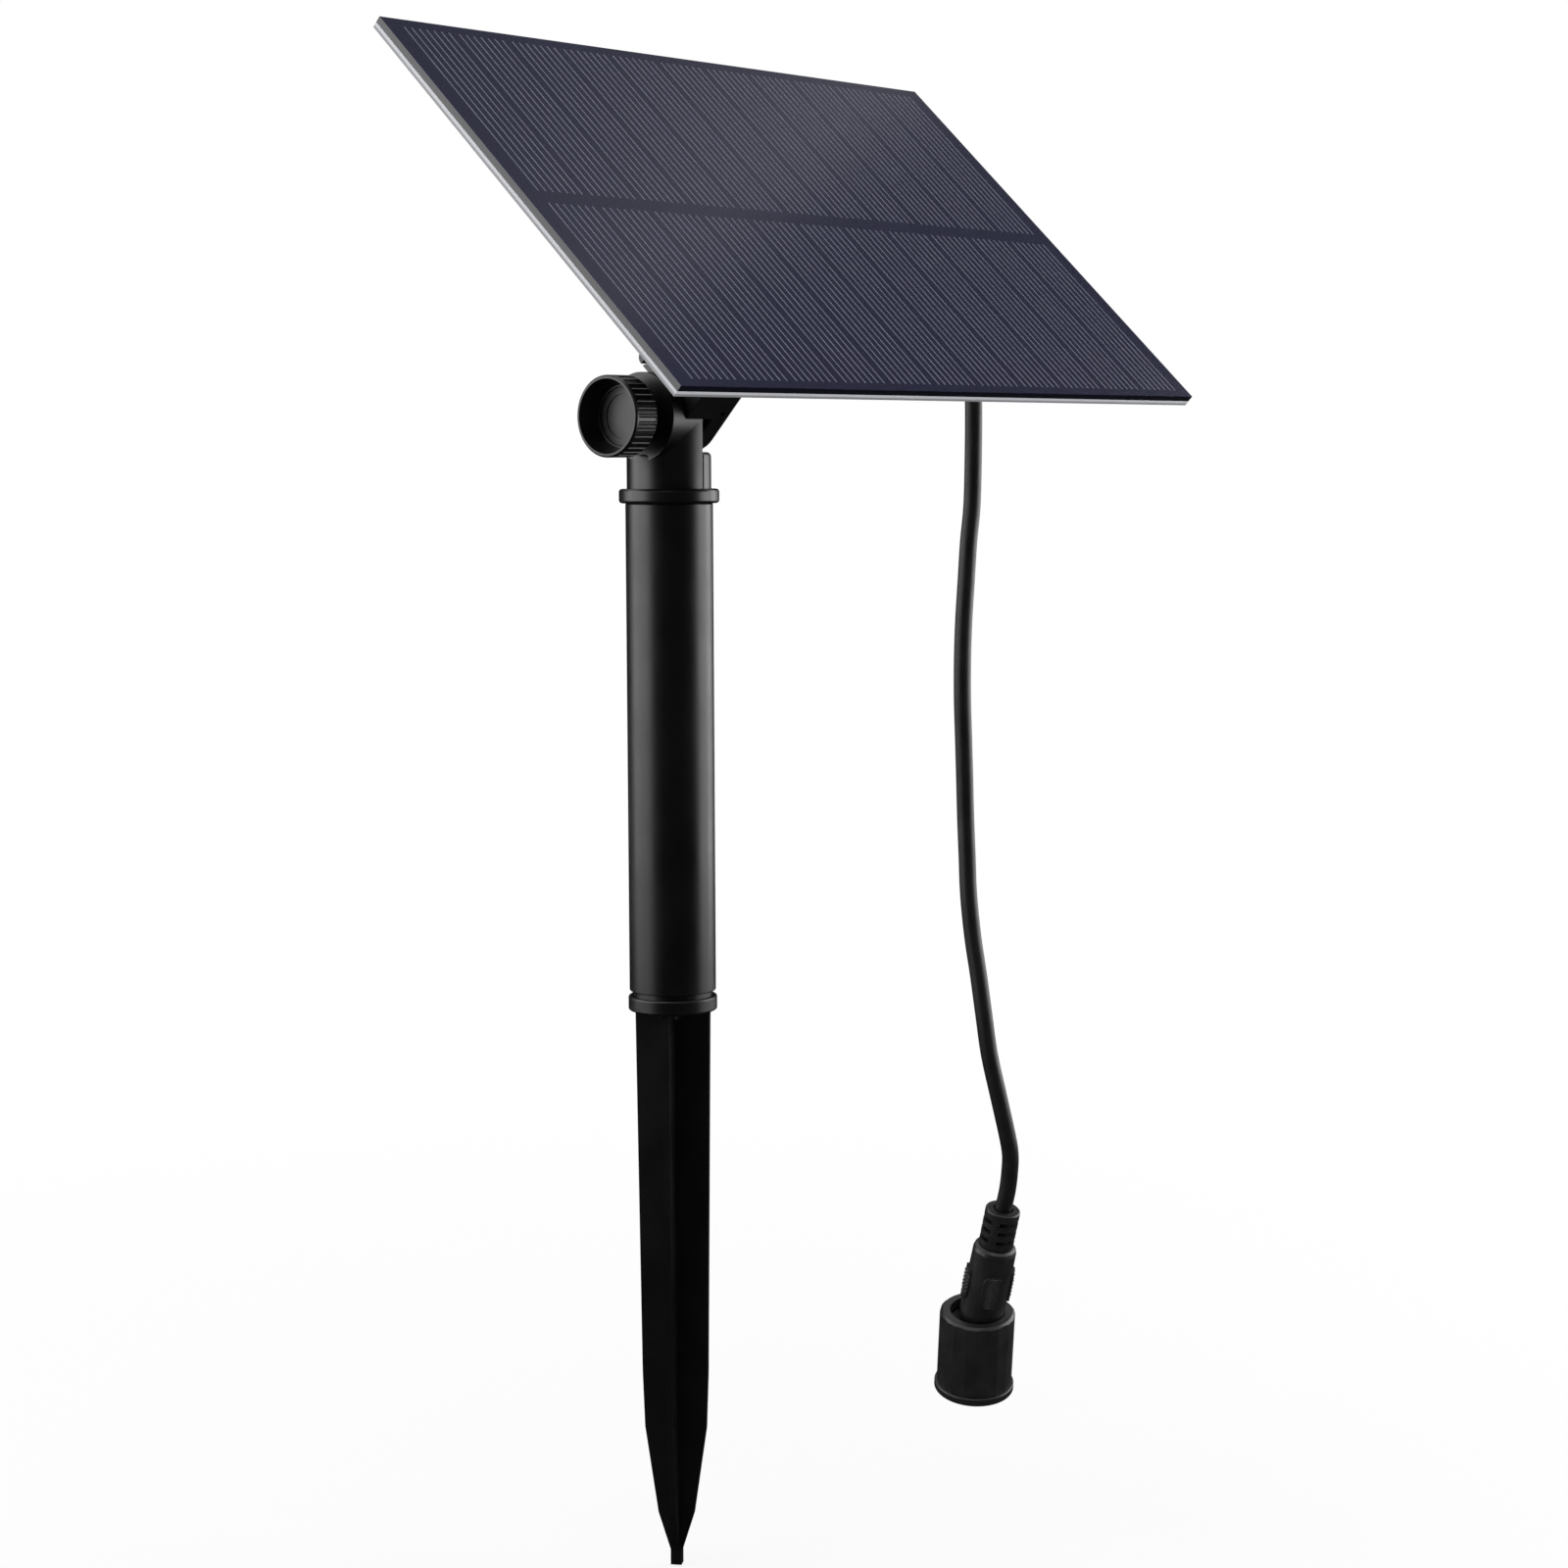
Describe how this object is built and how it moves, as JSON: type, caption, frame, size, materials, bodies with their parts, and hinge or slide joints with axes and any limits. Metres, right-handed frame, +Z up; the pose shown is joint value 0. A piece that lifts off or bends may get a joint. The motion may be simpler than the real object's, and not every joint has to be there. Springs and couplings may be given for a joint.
{
  "type": "solar fountain pump panel",
  "caption": "Tilting solar panel on a clamp bracket, tubular pole and ground spike, with a hanging lead that ends in a screw-lock connector for a garden fountain pump.",
  "frame": {"origin": "stake axis at the ground line, which is the underside of the spike's collar", "axes": "+Z up along the stake, +X along the tilt axis away from the clamp knob, +Y away from the side that the panel faces"},
  "size_m": [0.196, 0.1042, 0.384],
  "materials": {
    "laminate": "clear glossy laminate over dark blue-grey cells",
    "cell": "dark silicon cells",
    "board": "pale glass-fibre board, satin",
    "box_plastic": "moulded plastic, satin black",
    "seal_rubber": "soft matt rubber",
    "screw_steel": "plain stainless steel",
    "circuit_board": "green circuit board",
    "diode_epoxy": "black epoxy",
    "gland_plastic": "moulded nylon, satin black",
    "stake_plastic": "moulded plastic, satin near-black",
    "insert_brass": "turned brass",
    "cable_jacket": "smooth black cable jacket",
    "connector_plastic": "moulded plastic, satin near-black",
    "core_plastic": "pale moulded insulator",
    "contact_metal": "nickel-plated contact"
  },
  "bodies": {
    "stake": {"pole_tube": "stake_plastic", "ground_spike": "stake_plastic"},
    "head": {"stake_head": "stake_plastic", "friction_washer": "seal_rubber"},
    "panel": {"front_sheet": "laminate", "solar_cells": "cell", "backing_board": "board", "junction_box": "box_plastic", "box_seal": "seal_rubber", "box_lid": "box_plastic", "box_screws": "screw_steel", "terminal_board": "circuit_board", "blocking_diode": "diode_epoxy", "gland_body": "gland_plastic", "gland_cap": "gland_plastic", "gland_locknut": "gland_plastic", "bracket": "stake_plastic", "bracket_screws": "screw_steel", "clamp_bolt": "screw_steel"},
    "knob": {"clamp_knob": "stake_plastic", "knob_insert": "insert_brass", "knob_cap": "stake_plastic"},
    "lead": {"cable": "cable_jacket", "connector_boot": "connector_plastic", "connector_body": "connector_plastic", "connector_core": "core_plastic", "contact_barrel": "contact_metal", "seal_ring": "seal_rubber"},
    "nut": {"locking_nut": "connector_plastic"}
  },
  "joints": [
    {"name": "head_swivel", "type": "hinge", "parent": "stake", "child": "head", "pos_m": [0, 0, 0.12], "axis": [0, 0, 1], "continuous": true},
    {"name": "panel_tilt", "type": "hinge", "parent": "head", "child": "panel", "pos_m": [0, 0, 0.15], "axis": [1, 0, 0], "range_deg": [-60, 5]},
    {"name": "knob_turn", "type": "hinge", "parent": "panel", "child": "knob", "pos_m": [-0.018, 0, 0.15], "axis": [-1, 0, 0], "continuous": true},
    {"name": "cable_hang", "type": "hinge", "parent": "panel", "child": "lead", "pos_m": [0.046, -0.04707, 0.17994], "axis": [1, 0, 0], "range_deg": [-10, 65]},
    {"name": "nut_turn", "type": "hinge", "parent": "lead", "child": "nut", "pos_m": [0.07497, -0.04146, -0.08761], "axis": [-0.1798, -0.1862, 0.9659], "continuous": true}
  ],
  "couplings": [
    {"joint": "cable_hang", "follows": "panel_tilt", "ratio": -1}
  ]
}
